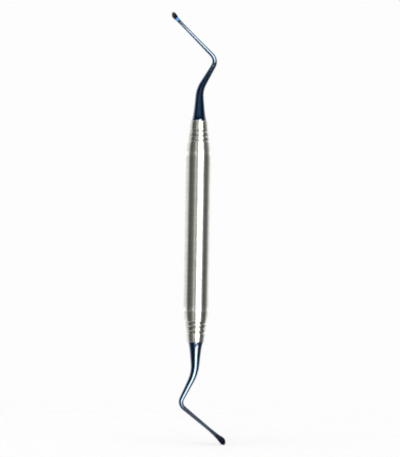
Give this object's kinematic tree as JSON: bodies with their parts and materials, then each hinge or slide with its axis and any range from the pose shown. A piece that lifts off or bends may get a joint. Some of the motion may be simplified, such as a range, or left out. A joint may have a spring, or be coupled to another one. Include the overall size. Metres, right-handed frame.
{
  "type": "dental elevator",
  "caption": "Dental elevator with a hollow satin steel handle, grooved conical noses, and a bent, mirror-polished blue shank ending in a small cupped spoon at each end.",
  "frame": {"origin": "middle of the handle, on its axis", "axes": "+Z along the handle towards the narrower spoon; both shanks are bent in the XZ plane, the upper one leaves the handle axis towards +X first; both cups open towards -Y"},
  "size_m": [0.0243, 0.01, 0.1728],
  "materials": {
    "satin_steel": "satin, fine turning marks around the axis",
    "turned_steel": "turned and satin-polished, bright on the groove edges",
    "blue_coating": "mirror-polished steel under a dark blue hard coating"
  },
  "bodies": {
    "root": {"handle_barrel": "satin_steel", "upper_nose": "turned_steel", "lower_nose": "turned_steel", "upper_working_end": "blue_coating", "lower_working_end": "blue_coating"}
  },
  "joints": []
}
